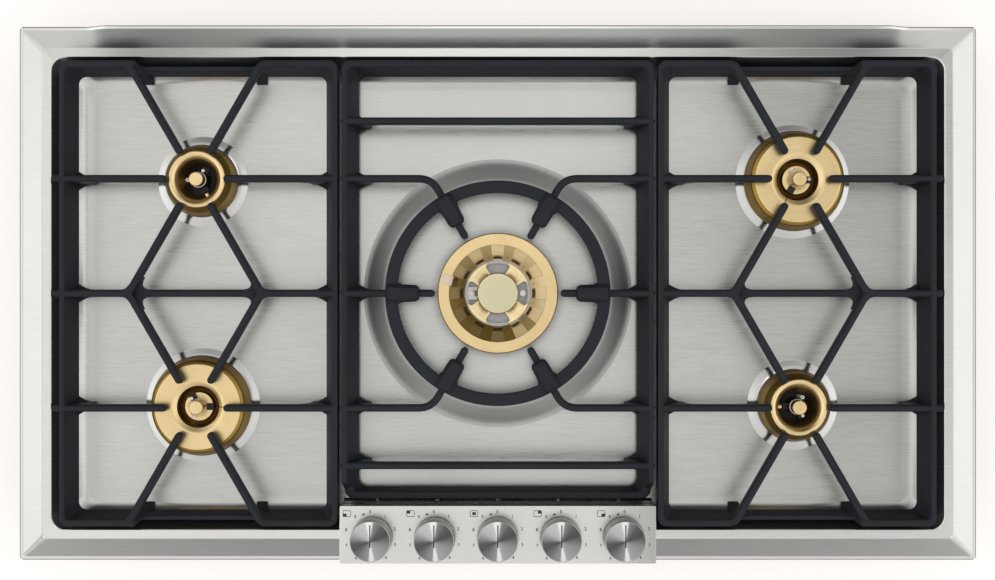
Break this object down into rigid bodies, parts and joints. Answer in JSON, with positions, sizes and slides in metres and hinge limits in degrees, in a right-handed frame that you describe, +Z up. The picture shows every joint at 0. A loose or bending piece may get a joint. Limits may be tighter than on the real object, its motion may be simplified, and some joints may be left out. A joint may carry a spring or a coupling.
{
  "type": "gas cooktop",
  "caption": "Built-in gas cooktop: steel tray with raised rim, brass burners, lift-off cast pan supports, a wok ring and push-and-turn knobs on a front control panel.",
  "frame": {"origin": "under the middle of the whole object, on the underside of the base pan", "axes": "+X to the right along the long side, +Y to the rear away from the knobs, +Z up"},
  "size_m": [0.944, 0.5294, 0.0985],
  "materials": {
    "black_iron": "semi-matt",
    "black_plastic": "fine grain",
    "brass": "satin turned",
    "brass_light": "fine satin",
    "cast_aluminium": "die cast",
    "cast_iron": "matt enamel",
    "ceramic": "glazed ceramic",
    "collar_steel": "polished",
    "galvanised": "dull galvanised sheet",
    "knob_metal": "radially spun top, satin sides",
    "panel_steel": "fine horizontal brush, satin",
    "pipe_aluminium": "drawn, dull",
    "plated_steel": "zinc plated",
    "rubber_feet": "matt heat-proof rubber",
    "seal_rubber": "matt foam seal",
    "sensor_steel": "polished tip",
    "tray_steel": "fine horizontal brush, satin"
  },
  "bodies": {
    "cooktop": {"base_pan": "galvanised", "burner_cap_left_front": "brass_light", "burner_cap_left_rear": "brass_light", "burner_cap_right_front": "brass_light", "burner_cap_right_rear": "brass_light", "burner_collars": "collar_steel", "burner_cup_left_front": "cast_aluminium", "burner_cup_left_rear": "cast_aluminium", "burner_cup_right_front": "cast_aluminium", "burner_cup_right_rear": "cast_aluminium", "burner_cup_wok": "cast_aluminium", "burner_feed_pipes": "pipe_aluminium", "burner_spiders": "black_iron", "cable_gland": "black_plastic", "control_panel": "panel_steel", "fixing_clamps": "galvanised", "flame_sensors": "sensor_steel", "gas_inlet": "plated_steel", "gas_manifold": "pipe_aluminium", "gas_taps": "cast_aluminium", "ignition_module": "black_plastic", "rim_frame": "tray_steel", "screws": "plated_steel", "seal_strip": "seal_rubber", "spark_electrodes": "ceramic", "terminal_box": "black_plastic", "trough": "tray_steel", "trough_walls": "tray_steel"},
    "support_left": {"pan_support_left": "cast_iron", "support_feet_left": "rubber_feet"},
    "support_centre": {"pan_support_centre": "cast_iron", "support_feet_centre": "rubber_feet"},
    "support_right": {"pan_support_right": "cast_iron", "support_feet_right": "rubber_feet"},
    "wok_ring": {"wok_ring": "cast_iron"},
    "wok_burner": {"burner_ring_wok": "brass", "wok_inner_plate": "brass_light", "burner_cap_wok": "brass_light"},
    "ring_left_front": {"burner_ring_left_front": "brass"},
    "ring_left_rear": {"burner_ring_left_rear": "brass"},
    "ring_right_front": {"burner_ring_right_front": "brass"},
    "ring_right_rear": {"burner_ring_right_rear": "brass"},
    "plug_1": {"tap_plug_1": "brass"},
    "knob_1": {"knob_1": "knob_metal", "knob_spindle_1": "plated_steel"},
    "plug_2": {"tap_plug_2": "brass"},
    "knob_2": {"knob_2": "knob_metal", "knob_spindle_2": "plated_steel"},
    "plug_3": {"tap_plug_3": "brass"},
    "knob_3": {"knob_3": "knob_metal", "knob_spindle_3": "plated_steel"},
    "plug_4": {"tap_plug_4": "brass"},
    "knob_4": {"knob_4": "knob_metal", "knob_spindle_4": "plated_steel"},
    "plug_5": {"tap_plug_5": "brass"},
    "knob_5": {"knob_5": "knob_metal", "knob_spindle_5": "plated_steel"}
  },
  "joints": [
    {"name": "support_left_lift", "type": "slide", "parent": "cooktop", "child": "support_left", "axis": [0, 0, 1], "range_m": [0, 0.06]},
    {"name": "support_centre_lift", "type": "slide", "parent": "cooktop", "child": "support_centre", "axis": [0, 0, 1], "range_m": [0, 0.06]},
    {"name": "support_right_lift", "type": "slide", "parent": "cooktop", "child": "support_right", "axis": [0, 0, 1], "range_m": [0, 0.06]},
    {"name": "wok_ring_lift", "type": "slide", "parent": "support_centre", "child": "wok_ring", "axis": [0, 0, 1], "range_m": [0, 0.04]},
    {"name": "wok_burner_lift", "type": "slide", "parent": "cooktop", "child": "wok_burner", "axis": [0, 0, 1], "range_m": [0, 0.03]},
    {"name": "ring_left_front_lift", "type": "slide", "parent": "cooktop", "child": "ring_left_front", "axis": [0, 0, 1], "range_m": [0, 0.03]},
    {"name": "ring_left_rear_lift", "type": "slide", "parent": "cooktop", "child": "ring_left_rear", "axis": [0, 0, 1], "range_m": [0, 0.03]},
    {"name": "ring_right_front_lift", "type": "slide", "parent": "cooktop", "child": "ring_right_front", "axis": [0, 0, 1], "range_m": [0, 0.03]},
    {"name": "ring_right_rear_lift", "type": "slide", "parent": "cooktop", "child": "ring_right_rear", "axis": [0, 0, 1], "range_m": [0, 0.03]},
    {"name": "tap_1_turn", "type": "hinge", "parent": "cooktop", "child": "plug_1", "pos_m": [-0.1238, -0.2386, 0.06], "axis": [0, 0, 1], "range_deg": [0, 324]},
    {"name": "knob_1_push", "type": "slide", "parent": "plug_1", "child": "knob_1", "axis": [0, 0, -1], "range_m": [0, 0.003], "stiffness_N_per_m": 1000, "springref_m": -0.004},
    {"name": "tap_2_turn", "type": "hinge", "parent": "cooktop", "child": "plug_2", "pos_m": [-0.0619, -0.2386, 0.06], "axis": [0, 0, 1], "range_deg": [0, 324]},
    {"name": "knob_2_push", "type": "slide", "parent": "plug_2", "child": "knob_2", "axis": [0, 0, -1], "range_m": [0, 0.003], "stiffness_N_per_m": 1000, "springref_m": -0.004},
    {"name": "tap_3_turn", "type": "hinge", "parent": "cooktop", "child": "plug_3", "pos_m": [0, -0.2386, 0.06], "axis": [0, 0, 1], "range_deg": [0, 324]},
    {"name": "knob_3_push", "type": "slide", "parent": "plug_3", "child": "knob_3", "axis": [0, 0, -1], "range_m": [0, 0.003], "stiffness_N_per_m": 1000, "springref_m": -0.004},
    {"name": "tap_4_turn", "type": "hinge", "parent": "cooktop", "child": "plug_4", "pos_m": [0.0619, -0.2386, 0.06], "axis": [0, 0, 1], "range_deg": [0, 324]},
    {"name": "knob_4_push", "type": "slide", "parent": "plug_4", "child": "knob_4", "axis": [0, 0, -1], "range_m": [0, 0.003], "stiffness_N_per_m": 1000, "springref_m": -0.004},
    {"name": "tap_5_turn", "type": "hinge", "parent": "cooktop", "child": "plug_5", "pos_m": [0.1238, -0.2386, 0.06], "axis": [0, 0, 1], "range_deg": [0, 324]},
    {"name": "knob_5_push", "type": "slide", "parent": "plug_5", "child": "knob_5", "axis": [0, 0, -1], "range_m": [0, 0.003], "stiffness_N_per_m": 1000, "springref_m": -0.004}
  ],
  "couplings": [
    {"joint": "ring_left_front_lift", "follows": "support_left_lift", "ratio": 0.5},
    {"joint": "ring_left_rear_lift", "follows": "support_left_lift", "ratio": 0.5},
    {"joint": "ring_right_front_lift", "follows": "support_right_lift", "ratio": 0.5},
    {"joint": "ring_right_rear_lift", "follows": "support_right_lift", "ratio": 0.5}
  ]
}
